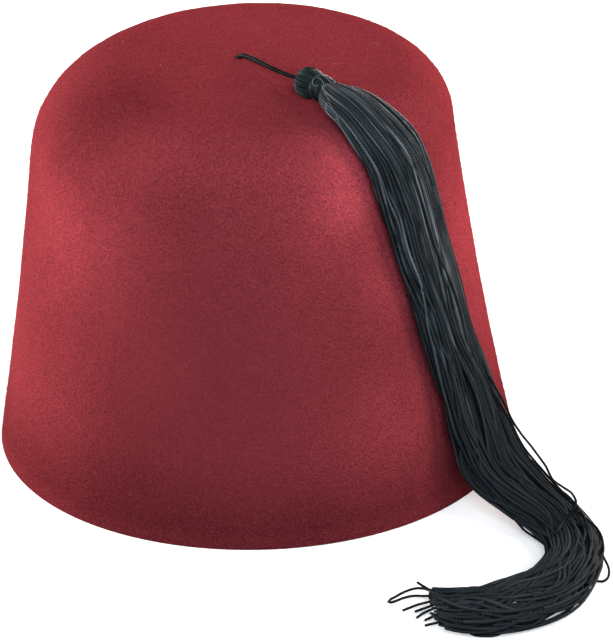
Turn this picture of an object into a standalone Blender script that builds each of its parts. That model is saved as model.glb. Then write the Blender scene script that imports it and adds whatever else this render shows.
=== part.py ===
"""A fez: a hollow felt crown with a black tassel on a short cord.

Metres, +Z up. The origin is on the table, under the middle of the crown's rim.
The viewer looks along +Y, with +X to the right, and the tassel lies at the front right.
"""

import math
from collections import namedtuple

import bmesh
import bpy
import numpy as np
from mathutils import Matrix, Vector

MM = 0.001
GAP = 0.3 * MM  # between pieces that touch

# ---- crown: sizes in four directions, blended smoothly round it
CROWN_HEIGHT = 152 * MM  # from the table to the edge of the top
TOP_DOME = 3 * MM  # how far the middle of the top stands above its edge
FELT = 2.8 * MM  # thickness of the wall

# rim, top: distances from the axis; shoulder: radius of the turn; waist: how far the side is hollowed (mm)
Side = namedtuple("Side", "rim top shoulder waist")
RIGHT = Side(rim=97.5, top=70.0, shoulder=23.0, waist=1.5)
BACK = Side(rim=91.5, top=69.0, shoulder=26.0, waist=1.1)
LEFT = Side(rim=97.5, top=75.7, shoulder=36.0, waist=0.8)
FRONT = Side(rim=91.5, top=73.5, shoulder=20.0, waist=1.1)

# soft dents in the felt: their middle (deg round from +X, mm up), depth, and how far they spread
Dent = namedtuple("Dent", "angle height depth spread_deg spread_mm")
DENTS = [
    Dent(angle=-142, height=136, depth=1.1, spread_deg=20, spread_mm=16),
    Dent(angle=-96, height=84, depth=0.9, spread_deg=24, spread_mm=34),
    Dent(angle=120, height=60, depth=0.8, spread_deg=22, spread_mm=30),
]

CORNERS_ROUND = 64
SIDE_ROWS = 7
SHOULDER_ROWS = 6
TOP_ROWS = 4

# ---- cord and its hidden knot
CORD_DIAMETER = 1.8 * MM
CORD_STEP = 2.2  # between the tube's points, in diameters
HOLE_DIAMETER = 2.7 * MM
HOLE_SIDES = 12
KNOT_DIAMETER = 6.4 * MM
KNOT_SIDES = 12

# from the knot inside, slanting up through the felt, and over the top into the back of the tassel's head
Point = namedtuple("Point", "x y z")
CORD_ROUTE = [
    Point(-6.1, -2.8, 151.1),
    Point(-4.4, -5.1, 153.9),
    Point(-3.5, -6.4, 155.2),
    Point(-2.4, -7.9, 156.3),
    Point(-0.6, -10.6, 157.0),
    Point(3.5, -17.0, 157.6),
    Point(8.1, -24.3, 158.2),
    Point(12.6, -31.3, 159.1),
    Point(17.5, -36.6, 159.4),
]

# ---- tassel: a head turned about its own axis, and a skirt of locks along a route
HEAD_BACK = Vector((17.8, -36.9, 159.4)) * MM
HEAD_FRONT = Vector((27.2, -45.7, 158.7)) * MM
HEAD_SIDES = 14

# distance along the head from its back, and the radius there (mm)
Turn = namedtuple("Turn", "along radius")
HEAD_PROFILE = [
    Turn(0.0, 2.4),
    Turn(0.4, 3.9),
    Turn(1.4, 5.0),
    Turn(3.1, 5.4),
    Turn(5.2, 5.2),
    Turn(6.5, 4.6),
    Turn(7.0, 3.9),
    Turn(13.4, 3.9),
    Turn(17.2, 3.5),
]
BINDING_PROFILE = [
    Turn(7.4, 4.3),
    Turn(7.4, 4.6),
    Turn(8.2, 4.8),
    Turn(12.2, 4.8),
    Turn(12.9, 4.6),
    Turn(12.9, 4.3),
]

# the skirt's middle line, its width and thickness there, and the tilt of its flat side from level (mm, deg)
Station = namedtuple("Station", "x y z wide thick tilt")
SKIRT = [
    Station(25.2, -44.0, 158.8, 6.4, 6.4, 0),
    Station(27.6, -46.5, 158.6, 7.8, 7.8, 4),
    Station(30.1, -50.2, 158.1, 16.5, 9.5, 8),
    Station(35.6, -55.1, 155.6, 20.0, 9.5, 24),
    Station(42.3, -59.5, 149.8, 23.0, 9.0, 50),
    Station(48.5, -61.4, 141.4, 24.5, 8.5, 70),
    Station(52.4, -60.1, 131.0, 26.3, 8.0, 80),
    Station(55.7, -58.6, 118.4, 27.2, 8.0, 80),
    Station(60.1, -57.5, 101.4, 27.8, 8.0, 80),
    Station(65.4, -56.0, 82.5, 28.2, 8.0, 80),
    Station(70.4, -54.8, 62.5, 27.5, 8.0, 80),
    Station(75.8, -54.0, 44.3, 31.2, 8.5, 78),
    Station(81.4, -56.1, 28.7, 35.6, 9.0, 66),
    Station(89.5, -62.0, 16.5, 35.0, 9.5, 44),
    Station(98.1, -71.8, 9.0, 30.5, 9.5, 18),
    Station(106.2, -84.4, 5.8, 25.2, 10.0, 4),
    Station(111.0, -98.8, 5.2, 23.2, 10.5, 0),
    Station(110.7, -110.7, 5.2, 21.6, 10.5, 0),
    Station(106.0, -121.4, 5.0, 24.2, 10.0, 0),
    Station(97.9, -131.5, 4.7, 29.5, 9.5, 0),
    Station(86.0, -137.6, 4.2, 31.0, 8.5, 0),
    Station(73.0, -139.2, 3.9, 28.0, 8.0, 0),
    Station(61.0, -136.4, 3.5, 23.5, 7.2, 0),
    Station(56.5, -134.6, 3.3, 21.0, 6.6, 0),
]
SKIRT_STEP = 2 * MM  # between the places read along the smooth route

# locks side by side across the skirt: place from its left edge (-1) to its right (1), how far the lock's
# end stops short of the last station, how far it rides up, and how far it wanders sideways (mm)
Lock = namedtuple("Lock", "place short rides wander")
LOCKS = [
    Lock(place=-0.84, short=15.0, rides=0.0, wander=0.5),
    Lock(place=-0.63, short=9.0, rides=0.4, wander=-0.6),
    Lock(place=-0.42, short=6.0, rides=0.9, wander=0.7),
    Lock(place=-0.21, short=1.5, rides=0.3, wander=-0.5),
    Lock(place=0.00, short=5.0, rides=1.0, wander=0.6),
    Lock(place=0.21, short=0.0, rides=0.4, wander=-0.7),
    Lock(place=0.42, short=4.0, rides=0.8, wander=0.5),
    Lock(place=0.63, short=1.0, rides=0.3, wander=-0.6),
    Lock(place=0.84, short=5.0, rides=0.0, wander=0.5),
]
LOCK_SIDES = 8
LOCK_NECK = (3.0, 6.0, 10.0)  # the first corners along a lock, close together where it spreads (mm)
LOCK_STEP = 8.6 * MM  # between the others
LOCK_SHARE = 0.19  # a lock's half width, as a share of the skirt's half width
LOCK_TIP = 0.45  # size of a lock's cut end, as a share of its full size
FULL_SPREAD = 10 * MM  # half width of the skirt from which the locks ride and wander fully
LOCK_STAGGER = 0.45 * MM  # each lock starts this much further inside the neck than the one before
WANDER_WAVE = 120 * MM  # length of one sideways wave


def clear_scene():
    for obj in list(bpy.data.objects):
        bpy.data.objects.remove(obj, do_unlink=True)


def material(name, colour, roughness):
    made = bpy.data.materials.new(name)
    made.use_nodes = True
    shader = made.node_tree.nodes["Principled BSDF"]
    shader.inputs["Base Color"].default_value = (*colour, 1)
    shader.inputs["Roughness"].default_value = roughness
    shader.inputs["Metallic"].default_value = 0
    return made


def object_from(name, bm, finish, sharp_deg=40):
    """A smooth-shaded object from a bmesh, with its faces turned outward."""
    bmesh.ops.recalc_face_normals(bm, faces=bm.faces)
    mesh = bpy.data.meshes.new(name)
    bm.to_mesh(mesh)
    bm.free()
    mesh.shade_smooth()
    mesh.set_sharp_from_angle(angle=math.radians(sharp_deg))
    mesh.materials.append(finish)
    obj = bpy.data.objects.new(name, mesh)
    bpy.context.collection.objects.link(obj)
    return obj


def turned_to(direction):
    """The rotation that turns +Z to a direction."""
    return Vector((0, 0, 1)).rotation_difference(direction).to_matrix()


def as_helper(obj):
    """A cutter or a piece that is joined to another isn't a piece of its own."""
    obj.hide_render = True
    obj.display_type = "WIRE"


def rings_to_surface(bm, rings, close_ends):
    """Quads between each ring of vertices and the next, with flat ends if asked."""
    for low, high in zip(rings, rings[1:]):
        for i in range(len(low)):
            j = (i + 1) % len(low)
            bm.faces.new((low[i], low[j], high[j], high[i]))
    if close_ends:
        bm.faces.new(rings[0])
        bm.faces.new(reversed(rings[-1]))


def smooth_rows(rows, step):
    """Rows read at even steps along a smooth curve through the given ones, which start with a place."""
    rows = np.array(rows, float)
    gaps = np.linalg.norm(np.diff(rows[:, :3], axis=0), axis=1)
    along = np.concatenate([[0], np.cumsum(gaps)])
    chords = np.diff(rows, axis=0) / gaps[:, None]
    weight = gaps[1:, None] / (gaps[:-1] + gaps[1:])[:, None]
    slopes = np.vstack([chords[:1], chords[:-1] * weight + chords[1:] * (1 - weight), chords[-1:]])
    found = []
    for place in np.linspace(0, along[-1], 1 + round(along[-1] / step)):
        i = min(np.searchsorted(along, place, side="right") - 1, len(gaps) - 1)
        t = (place - along[i]) / gaps[i]
        start = (1 + 2 * t) * (1 - t) ** 2 * rows[i] + t * (1 - t) ** 2 * gaps[i] * slopes[i]
        end = t * t * (3 - 2 * t) * rows[i + 1] + t * t * (t - 1) * gaps[i] * slopes[i + 1]
        found.append(start + end)
    return np.array(found)


# ---- crown


def blended(field, angle):
    """A size of the crown at an angle round it, from its four directions."""
    right, back, left, front = (getattr(side, field) * MM for side in (RIGHT, BACK, LEFT, FRONT))
    mean = (right + back + left + front) / 4
    sway = (right - left) / 2 * math.cos(angle) + (back - front) / 2 * math.sin(angle)
    return mean + sway + (right + left - back - front) / 4 * math.cos(2 * angle)


def dented(angle, height):
    """How far the felt is pushed in at a place on the crown."""
    depth = 0.0
    for dent in DENTS:
        turn = math.degrees(angle) - dent.angle
        turn = (turn + 180) % 360 - 180
        far = (turn / dent.spread_deg) ** 2 + ((height / MM - dent.height) / dent.spread_mm) ** 2
        depth += dent.depth * MM * math.exp(-far)
    return depth


def crown_profile(angle, inset):
    """Radius and height of each row from the rim to the middle of the top, this far inside the felt."""
    rim, top, shoulder, waist = (blended(field, angle) for field in Side._fields)
    slant = math.hypot(rim - top, CROWN_HEIGHT)
    rise, lean = CROWN_HEIGHT / slant, (rim - top) / slant
    turn_z = CROWN_HEIGHT - shoulder
    climb = (turn_z + shoulder * lean) / rise
    turn_r = rim - climb * lean - shoulder * rise
    rows = []
    for i in range(SIDE_ROWS):
        t = i / SIDE_ROWS
        push = inset + dented(angle, t * climb * rise)
        hollow = waist * 4 * t * (1 - t)
        height = t * climb * rise - push * lean if i else 0.0
        rows.append((rim - t * climb * lean - hollow - push * rise, height))
    start = math.atan2(lean, rise)
    for i in range(SHOULDER_ROWS):
        bend = start + (math.pi / 2 - start) * i / SHOULDER_ROWS
        reach = shoulder - inset - dented(angle, turn_z + shoulder * math.sin(bend))
        rows.append((turn_r + reach * math.cos(bend), turn_z + reach * math.sin(bend)))
    for i in range(TOP_ROWS):
        out = 1 - i / TOP_ROWS
        push = inset + dented(angle, CROWN_HEIGHT) * out
        rows.append((turn_r * out, CROWN_HEIGHT + TOP_DOME * (1 - out * out) - push))
    return rows


def crown_skin(bm, inset):
    """One face of the felt, as rings from the rim upward, closed over the top."""
    angles = [2 * math.pi * i / CORNERS_ROUND for i in range(CORNERS_ROUND)]
    profiles = [crown_profile(angle, inset) for angle in angles]
    rings = []
    for row in range(len(profiles[0])):
        ring = []
        for angle, profile in zip(angles, profiles):
            radius, height = profile[row]
            ring.append(bm.verts.new((radius * math.cos(angle), radius * math.sin(angle), height)))
        rings.append(ring)
    rings_to_surface(bm, rings, close_ends=False)
    middle = bm.verts.new((0, 0, CROWN_HEIGHT + TOP_DOME - inset))
    for i in range(CORNERS_ROUND):
        bm.faces.new((rings[-1][i], rings[-1][(i + 1) % CORNERS_ROUND], middle))
    return rings[0]


def make_crown():
    bm = bmesh.new()
    outside = crown_skin(bm, 0.0)
    inside = crown_skin(bm, FELT)
    rings_to_surface(bm, [outside, inside], close_ends=False)
    crown = object_from("crown", bm, material("red_wool_felt", (0.30, 0.024, 0.034), 0.95))

    start, through = (Vector(point) * MM for point in CORD_ROUTE[:2])
    bm = bmesh.new()
    bmesh.ops.create_cone(
        bm,
        cap_ends=True,
        segments=HOLE_SIDES,
        radius1=HOLE_DIAMETER / 2,
        radius2=HOLE_DIAMETER / 2,
        depth=4 * FELT,
        matrix=Matrix.Translation(through) @ turned_to(through - start).to_4x4(),
    )
    cutter = object_from("cord_hole", bm, crown.data.materials[0])
    as_helper(cutter)
    cut = crown.modifiers.new("cord_hole", "BOOLEAN")
    cut.operation = "DIFFERENCE"
    cut.object = cutter


# ---- cord and knot


def make_cord():
    points = smooth_rows(np.array(CORD_ROUTE) * MM, CORD_STEP * CORD_DIAMETER)
    curve = bpy.data.curves.new("tassel_cord", "CURVE")
    curve.dimensions = "3D"
    curve.bevel_depth = CORD_DIAMETER / 2
    curve.bevel_resolution = 2
    curve.use_fill_caps = True
    spline = curve.splines.new("POLY")
    spline.points.add(len(points) - 1)
    for point, place in zip(spline.points, points):
        point.co = (*place, 1)
    curve.materials.append(material("black_cord", (0.012, 0.014, 0.016), 0.6))
    cord = bpy.data.objects.new("tassel_cord", curve)
    bpy.context.collection.objects.link(cord)


def make_knot():
    """A ball at the cord's lower end, in line with it."""
    end, after = (Vector(point) * MM for point in CORD_ROUTE[:2])
    middle = end - (after - end).normalized() * (KNOT_DIAMETER / 2 + GAP)
    bm = bmesh.new()
    bmesh.ops.create_uvsphere(bm, u_segments=KNOT_SIDES, v_segments=8, radius=KNOT_DIAMETER / 2)
    bmesh.ops.translate(bm, vec=middle, verts=bm.verts)
    object_from("cord_knot", bm, material("black_cord_knot", (0.012, 0.014, 0.016), 0.7))


# ---- tassel


def turned(bm, profile, closed_ring):
    """A profile turned about the head's axis; a closed ring joins its last row to its first."""
    axis = (HEAD_FRONT - HEAD_BACK).normalized()
    to_axis = turned_to(axis)
    rings = []
    for turn in profile:
        ring = []
        for i in range(HEAD_SIDES):
            angle = 2 * math.pi * i / HEAD_SIDES
            local = Vector((math.cos(angle), math.sin(angle), 0)) * turn.radius * MM
            ring.append(bm.verts.new(HEAD_BACK + axis * turn.along * MM + to_axis @ local))
        rings.append(ring)
    if closed_ring:
        rings.append(rings[0])
    rings_to_surface(bm, rings, close_ends=not closed_ring)


def skirt_frames():
    """Along the skirt: its middle, the ways across and out of its flat side, half its width and thickness."""
    rows = smooth_rows([[*np.array(row[:5]) * MM, row.tilt] for row in SKIRT], SKIRT_STEP)
    heading = np.gradient(rows[:, :3], axis=0)
    frames = []
    for row, ahead in zip(rows, heading):
        ahead = Vector(ahead).normalized()
        away = math.atan2(row[1], row[0])
        tilt = math.radians(row[5])
        level = Vector((math.cos(away), math.sin(away), 0))
        out = level * math.sin(tilt) + Vector((0, 0, math.cos(tilt)))
        out = (out - ahead * out.dot(ahead)).normalized()
        frames.append((Vector(row[:3]), ahead.cross(out), out, row[3] / 2, row[4] / 2))
    return frames


def frame_at(frames, distance):
    """The skirt's frame at a distance along it."""
    low = min(int(distance / SKIRT_STEP), len(frames) - 2)
    part = distance / SKIRT_STEP - low
    return [a * (1 - part) + b * part for a, b in zip(frames[low], frames[low + 1])]


def make_lock(number, lock, frames, finish):
    """An oval tube along the skirt at one place across it, narrowed at its cut end."""
    first = number * LOCK_STAGGER
    end = (len(frames) - 1) * SKIRT_STEP - lock.short * MM
    run_from = LOCK_NECK[-1] * MM
    steps = round((end - run_from) / LOCK_STEP)
    near = [place * MM for place in LOCK_NECK[:-1]]
    places = [first] + [place for place in near if place > first + SKIRT_STEP / 2]
    places += [run_from + (end - run_from) * i / steps for i in range(steps + 1)]
    bm = bmesh.new()
    rings = []
    for at in places:
        middle, across, out, half_wide, half_thick = frame_at(frames, at)
        spread = min(1.0, half_wide / FULL_SPREAD)
        wander = lock.wander * MM * spread * math.sin(2 * math.pi * at / WANDER_WAVE)
        centre = middle + across * (lock.place * half_wide + wander) + out * lock.rides * MM * spread
        size = LOCK_TIP if at == places[-1] else 1.0
        wide = half_wide * LOCK_SHARE * size
        thick = half_thick * math.sqrt(1 - 0.8 * lock.place**2) * size
        ring = []
        for corner in range(LOCK_SIDES):
            angle = 2 * math.pi * (corner + 0.5) / LOCK_SIDES
            corner_at = across * wide * math.cos(angle) + out * thick * math.sin(angle)
            ring.append(bm.verts.new(centre + corner_at))
        rings.append(ring)
    rings_to_surface(bm, rings, close_ends=True)
    return object_from(f"lock_{number}", bm, finish)


def make_tassel():
    """The head, with every lock joined into it."""
    finish = material("black_tassel_cords", (0.01, 0.012, 0.014), 0.5)
    bm = bmesh.new()
    turned(bm, HEAD_PROFILE, closed_ring=False)
    tassel = object_from("tassel", bm, finish)
    locks = bpy.data.collections.new("skirt_locks")
    bpy.context.scene.collection.children.link(locks)
    frames = skirt_frames()
    for number, lock in enumerate(LOCKS, 1):
        helper = make_lock(number, lock, frames, finish)
        as_helper(helper)
        locks.objects.link(helper)
    join = tassel.modifiers.new("skirt_locks", "BOOLEAN")
    join.operation = "UNION"
    join.operand_type = "COLLECTION"
    join.collection = locks


def make_binding():
    bm = bmesh.new()
    turned(bm, BINDING_PROFILE, closed_ring=True)
    object_from("neck_binding", bm, material("black_binding_thread", (0.02, 0.022, 0.024), 0.4))


clear_scene()
make_crown()
make_cord()
make_knot()
make_tassel()
make_binding()
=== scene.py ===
"""A red felt fez with a black tassel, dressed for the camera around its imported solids."""

import math
from collections import namedtuple

import bpy
import numpy as np
from mathutils import Matrix, Vector, noise
from mathutils.bvhtree import BVHTree


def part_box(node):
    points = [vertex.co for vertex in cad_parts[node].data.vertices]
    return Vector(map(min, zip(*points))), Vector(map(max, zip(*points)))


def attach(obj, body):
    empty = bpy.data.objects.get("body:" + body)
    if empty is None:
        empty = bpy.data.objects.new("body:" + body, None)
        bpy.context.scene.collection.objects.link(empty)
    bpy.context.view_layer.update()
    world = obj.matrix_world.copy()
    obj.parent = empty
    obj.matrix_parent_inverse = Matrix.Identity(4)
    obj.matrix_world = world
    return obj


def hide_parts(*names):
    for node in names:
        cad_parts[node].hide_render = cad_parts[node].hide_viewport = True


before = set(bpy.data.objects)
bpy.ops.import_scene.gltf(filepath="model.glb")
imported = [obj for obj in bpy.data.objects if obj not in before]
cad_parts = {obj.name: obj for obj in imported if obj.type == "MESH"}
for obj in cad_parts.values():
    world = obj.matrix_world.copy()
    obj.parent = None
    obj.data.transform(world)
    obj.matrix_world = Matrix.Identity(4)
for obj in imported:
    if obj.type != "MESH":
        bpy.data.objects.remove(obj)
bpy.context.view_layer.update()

# ---- Camera
# The hat is seen from a little above, from far enough away to show almost no perspective.
# The lens looks at the lower middle of the hat and is turned slightly off it, as the picture is framed.
MM = 0.001
LOOK_AT = Vector((0, 0, 70)) * MM
CAMERA_DISTANCE = 1200 * MM
CAMERA_ABOVE = math.radians(27)
TURNED_RIGHT, TURNED_UP, ROLLED = (math.radians(angle) for angle in (0.925, 1.086, 1.086))
LENS, SENSOR = 180.8, 36  # millimetres, the sensor along the picture's longer side

camera = bpy.data.objects.new("camera", bpy.data.cameras.new("camera"))
bpy.context.collection.objects.link(camera)
camera.data.lens = LENS
camera.data.sensor_width = SENSOR
level = Matrix.Rotation(math.pi / 2 - CAMERA_ABOVE, 4, "X")
aim = Matrix.Rotation(-TURNED_RIGHT, 4, "Y") @ Matrix.Rotation(-TURNED_UP, 4, "X")
back = level @ Vector((0, 0, CAMERA_DISTANCE))
camera.matrix_world = Matrix.Translation(LOOK_AT + back) @ level @ aim @ Matrix.Rotation(-ROLLED, 4, "Z")
bpy.context.scene.camera = camera

# ---- Tassel cord
# A thin laid cord of three black rayon strands. Its knotted end is inside the crown, and it comes up through
# a small hole in the felt, then runs over the top to the back of the tassel's head.
Point = namedtuple("Point", "x y z")
CORD_ROUTE = [
    Point(-6.1, -2.8, 151.1),
    Point(-4.4, -5.1, 153.9),
    Point(-3.5, -6.4, 155.2),
    Point(-2.4, -7.9, 156.3),
    Point(-0.6, -10.6, 157.0),
    Point(3.5, -17.0, 157.6),
    Point(8.1, -24.3, 158.2),
    Point(12.6, -31.3, 159.1),
    Point(17.5, -36.6, 159.4),
]
CORD_DIAMETER = 1.8 * MM
CORD_LAY = 5.4 * MM  # one whole turn of its strands
CORD_STRANDS = 3
CORD_GROOVE, CORD_CROWN = 0.88, 0.17  # its radius in a groove between strands, and what a strand's back adds
CORD_CORNERS = 24
CORD_DRAWN_THIN = 0.82  # its thickness at the head, where it is stretched, as a share of that at the hole
CORD_STEP = 0.4 * MM
WELD = 0.001 * MM  # corners of one thread that are nearer than this are one
# the sheen of rayon, painted into its colour as highlights and given to its gloss
STREAK_LENGTH = 20 * MM  # length of a painted streak of light along a strand
STREAK_FROM, STREAK_TO = 0.36, 0.7  # noise at which its sheen begins, and is full
BEAD_GAP = 0.5  # sheen between two beads of the twist, as a share of the sheen on them
LINE_TURN = 260 * MM  # one winding of the painted light line round a strand
LINE_EDGE = 0.35  # how far round from the line's middle it ends, as a cosine
SHINIEST = 0.21  # where along a strand its sheen is strongest, as a share of its length
SHEEN_FULL_TO, SHEEN_DULL_FROM = 0.1, 0.34  # shares of its length from there
LEAST_GLOSS = 0.05  # gloss where there is no sheen, as a share of the most
SILKY, DULLED = 0.3, 0.85  # roughness
SHEEN_TINT = "#dbe4ea"
STRAND_APART = 97.0  # moves each strand to a stretch of the noise of its own
strand_chance = np.random.default_rng(3)


def smooth_rows(rows, step):
    """Rows read at even steps along a smooth curve through the given ones, which start with a place."""
    rows = np.array(rows, float)
    gaps = np.linalg.norm(np.diff(rows[:, :3], axis=0), axis=1)
    along = np.concatenate([[0], np.cumsum(gaps)])
    chords = np.diff(rows, axis=0) / gaps[:, None]
    weight = gaps[1:, None] / (gaps[:-1] + gaps[1:])[:, None]
    slopes = np.vstack([chords[:1], chords[:-1] * weight + chords[1:] * (1 - weight), chords[-1:]])
    found = []
    for place in np.linspace(0, along[-1], 1 + round(along[-1] / step)):
        i = min(np.searchsorted(along, place, side="right") - 1, len(gaps) - 1)
        t = (place - along[i]) / gaps[i]
        start = (1 + 2 * t) * (1 - t) ** 2 * rows[i] + t * (1 - t) ** 2 * gaps[i] * slopes[i]
        end = t * t * (3 - 2 * t) * rows[i + 1] + t * t * (t - 1) * gaps[i] * slopes[i + 1]
        found.append(start + end)
    return np.array(found)


def curve_of(name, routes, radius, sides_step=1, radii=None, cyclic=False):
    """A curve object of round threads, one spline for each route."""
    curve = bpy.data.curves.new(name, "CURVE")
    curve.dimensions = "3D"
    curve.bevel_depth = radius
    curve.bevel_resolution = sides_step
    curve.use_fill_caps = not cyclic
    for number, route in enumerate(routes):
        spline = curve.splines.new("POLY")
        spline.points.add(len(route) - 1)
        spline.points.foreach_set("co", np.column_stack([route, np.ones(len(route))]).ravel())
        if radii is not None:
            spline.points.foreach_set("radius", radii[number])
        spline.use_cyclic_u = cyclic
        spline.use_smooth = True
    made = bpy.data.objects.new(name, curve)
    bpy.context.collection.objects.link(made)
    return made


def only(piece):
    """Selects one object and nothing else, for the operators that follow."""
    bpy.ops.object.select_all(action="DESELECT")
    piece.select_set(True)
    bpy.context.view_layer.objects.active = piece


def mark_strands(mesh):
    """Gives each separate thread of a mesh a chance number of its own, as an attribute."""
    edges = np.zeros(2 * len(mesh.edges), int)
    mesh.edges.foreach_get("vertices", edges)
    start, end = edges.reshape(-1, 2).T
    thread = np.arange(len(mesh.vertices))
    while (thread[start] != thread[end]).any():
        low = np.minimum(thread[start], thread[end])
        np.minimum.at(thread, start, low)
        np.minimum.at(thread, end, low)
        thread = thread[thread]
    threads, number = np.unique(thread, return_inverse=True)
    values = strand_chance.random(len(threads))[number.ravel()]
    mesh.attributes.new("strand", "FLOAT", "POINT").data.foreach_set("value", values)


def as_mesh(piece):
    """Turns a curve into a closed mesh, its end caps joined to its sides."""
    only(piece)
    bpy.ops.object.convert(target="MESH")
    bpy.ops.object.mode_set(mode="EDIT")
    bpy.ops.mesh.select_all(action="SELECT")
    bpy.ops.mesh.remove_doubles(threshold=WELD)
    bpy.ops.mesh.normals_make_consistent(inside=False)
    bpy.ops.object.mode_set(mode="OBJECT")
    bpy.ops.object.shade_smooth()
    mark_strands(bpy.context.object.data)
    return bpy.context.object


def node(tree, kind, inputs=None, **settings):
    """Adds a node, gives it its settings, and links or fills its inputs."""
    made = tree.nodes.new(kind)
    for name, value in settings.items():
        setattr(made, name, value)
    for name, value in (inputs or {}).items():
        if isinstance(value, bpy.types.NodeSocket):
            tree.links.new(value, made.inputs[name])
        else:
            made.inputs[name].default_value = value
    return made


def colour(code):
    """An sRGB colour such as "#8a2f3a" as linear red, green, blue and alpha."""
    values = [int(code[i : i + 2], 16) / 255 for i in (1, 3, 5)]
    return [v / 12.92 if v <= 0.04045 else ((v + 0.055) / 1.055) ** 2.4 for v in values] + [1]


def black_rayon_painted_sheen(name, dark, light, shine, length, pitch, ridges=1, relief=0.3, dull=1.0, sided=0.0):
    """Twisted viscose rayon yarn in black, silky filaments with painted sheen: its colour is lighter in long
    streaks, in beads along the twist and in a fine line, as painted highlights, and its gloss follows them.

    The pitch is from bead to bead. dull is the share of painted sheen and gloss that is left at a strand's
    bent neck and its far end, and sided is the share that only its painted light line has.
    """
    made = bpy.data.materials.new(name)
    made.use_nodes = True
    tree = made.node_tree
    shader = tree.nodes["Principled BSDF"]
    uv = node(tree, "ShaderNodeTexCoord").outputs["UV"]
    place = node(tree, "ShaderNodeSeparateXYZ", {0: uv})
    along, around = place.outputs["X"], place.outputs["Y"]
    one = node(tree, "ShaderNodeAttribute", attribute_name="strand").outputs["Fac"]
    own = node(tree, "ShaderNodeMath", {0: one, 1: STRAND_APART}, operation="MULTIPLY").outputs[0]
    # The twist winds ridges round the strand: a bump, and beads of painted highlight in its colour along it.
    turns = node(tree, "ShaderNodeMath", {0: along, 1: length / pitch, 2: own}, operation="MULTIPLY_ADD")
    across = node(tree, "ShaderNodeMath", {0: around, 1: ridges}, operation="MULTIPLY")
    phase = node(tree, "ShaderNodeMath", {0: turns.outputs[0], 1: across.outputs[0]}, operation="ADD")
    wave = node(tree, "ShaderNodeMath", {0: phase.outputs[0], 1: 2 * math.pi}, operation="MULTIPLY")
    ridge = node(tree, "ShaderNodeMath", {0: wave.outputs[0]}, operation="COSINE").outputs[0]
    beads = node(tree, "ShaderNodeMapRange", {0: ridge, 1: -1.0, 2: 1.0, 3: BEAD_GAP, 4: 1.0})
    # Painted highlight: each strand's colour and gloss rise in streaks a few centimetres long, on its own.
    reach = node(tree, "ShaderNodeMath", {0: along, 1: length / STREAK_LENGTH}, operation="MULTIPLY")
    lane = node(tree, "ShaderNodeCombineXYZ", {"X": reach.outputs[0], "Y": own})
    streaks = node(tree, "ShaderNodeTexNoise", {"Vector": lane.outputs[0], "Scale": 1.0, "Detail": 2.0})
    turned = node(tree, "ShaderNodeMapRange", {0: streaks.outputs[0], 1: STREAK_FROM, 2: STREAK_TO})
    sheen = node(tree, "ShaderNodeMath", {0: turned.outputs[0], 1: beads.outputs[0]}, operation="MULTIPLY")
    # Painted highlight: a fine light line in the colour along one side, which winds slowly round it.
    wind = node(tree, "ShaderNodeMath", {0: along, 1: length / LINE_TURN, 2: own}, operation="MULTIPLY_ADD")
    wind = node(tree, "ShaderNodeMath", {0: wind.outputs[0], 1: around}, operation="ADD")
    wind = node(tree, "ShaderNodeMath", {0: wind.outputs[0], 1: 2 * math.pi}, operation="MULTIPLY")
    facing = node(tree, "ShaderNodeMath", {0: wind.outputs[0]}, operation="COSINE").outputs[0]
    line = node(tree, "ShaderNodeMapRange", {0: facing, 1: LINE_EDGE, 2: 1.0, 3: 1.0 - sided, 4: 1.0})
    sheen = node(tree, "ShaderNodeMath", {0: sheen.outputs[0], 1: line.outputs[0]}, operation="MULTIPLY")
    # Painted sheen and gloss are strongest where a strand hangs straight, fading to its bent neck and far
    # end.
    off = node(tree, "ShaderNodeMath", {0: along, 1: SHINIEST}, operation="SUBTRACT")
    off = node(tree, "ShaderNodeMath", {0: off.outputs[0]}, operation="ABSOLUTE")
    fades = {0: off.outputs[0], 1: SHEEN_FULL_TO, 2: SHEEN_DULL_FROM, 3: 1.0, 4: dull}
    left = node(tree, "ShaderNodeMapRange", fades)
    sheen = node(tree, "ShaderNodeMath", {0: sheen.outputs[0], 1: left.outputs[0]}, operation="MULTIPLY")
    # the colour goes from dark to light with the painted sheen
    tone = node(
        tree, "ShaderNodeMix", {0: sheen.outputs[0], 6: colour(dark), 7: colour(light)}, data_type="RGBA"
    )
    gloss = node(tree, "ShaderNodeMapRange", {0: sheen.outputs[0], 3: LEAST_GLOSS * shine, 4: shine})
    rough = node(tree, "ShaderNodeMapRange", {0: left.outputs[0], 3: DULLED, 4: SILKY})
    bump = node(tree, "ShaderNodeBump", {"Height": ridge, "Strength": relief, "Distance": 0.1 * MM})
    tree.links.new(tone.outputs[2], shader.inputs["Base Color"])
    tree.links.new(gloss.outputs[0], shader.inputs["Specular IOR Level"])
    tree.links.new(rough.outputs[0], shader.inputs["Roughness"])
    tree.links.new(bump.outputs[0], shader.inputs["Normal"])
    shader.inputs["Specular Tint"].default_value = colour(SHEEN_TINT)
    return made


cord_line = smooth_rows(np.array(CORD_ROUTE) * MM, CORD_STEP)
lobes = []
for i in range(CORD_CORNERS):
    turn = 2 * math.pi * i / CORD_CORNERS
    size = CORD_GROOVE + CORD_CROWN * abs(math.cos(turn * CORD_STRANDS / 2))
    lobes.append(Vector((math.cos(turn), math.sin(turn), 0)) * CORD_DIAMETER / 2 * size)
outline = curve_of("cord_outline", [lobes], 0, cyclic=True)
thinner = [np.linspace(1.0, CORD_DRAWN_THIN, len(cord_line))]
tassel_cord = curve_of("laid_cord", [cord_line], 0, radii=thinner)
tassel_cord.data.bevel_mode = "OBJECT"
tassel_cord.data.bevel_object = outline
for number, point in enumerate(tassel_cord.data.splines[0].points):
    point.tilt = 2 * math.pi * number * CORD_STEP / CORD_LAY
tassel_cord = as_mesh(tassel_cord)
bpy.data.objects.remove(outline)
tassel_cord.data.materials.clear()
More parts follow.
